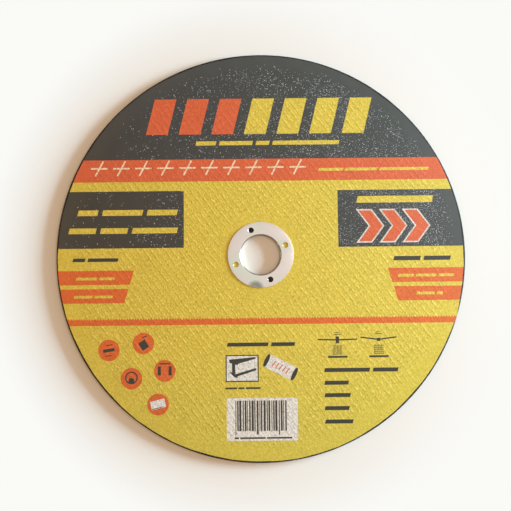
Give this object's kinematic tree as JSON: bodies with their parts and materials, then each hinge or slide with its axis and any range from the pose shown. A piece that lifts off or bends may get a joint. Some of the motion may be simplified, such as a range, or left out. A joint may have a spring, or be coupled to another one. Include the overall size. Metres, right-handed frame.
{
  "type": "cut-off wheel",
  "caption": "Thin flat reinforced abrasive wheel with a printed paper label and a flanged steel ring lining its bore, for cutting metal on an angle grinder.",
  "frame": {"origin": "centre of the bore at the back face, which the wheel lies on", "axes": "+Z along the bore's axis, out of the label side; +Y to the top of the print"},
  "size_m": [0.23, 0.23, 0.0023],
  "materials": {
    "bonded_abrasive": "moulded grain in dark resin, matt",
    "glass_cloth": "open glass-fibre net soaked in dark resin",
    "label_paper": "uncoated white paper, pressed onto the net",
    "yellow_ink": "printed yellow on paper, matt",
    "red_ink": "printed red on paper, matt",
    "orange_ink": "printed orange on paper, matt",
    "charcoal_ink": "printed charcoal on paper, speckled by the grain below",
    "ring_steel": "tinned sheet, satin"
  },
  "bodies": {
    "root": {"abrasive_disc": "bonded_abrasive", "back_net": "glass_cloth", "front_net": "glass_cloth", "paper_label": "label_paper", "yellow_ink": "yellow_ink", "red_ink": "red_ink", "orange_ink": "orange_ink", "charcoal_ink": "charcoal_ink", "arbor_ring": "ring_steel"}
  },
  "joints": []
}
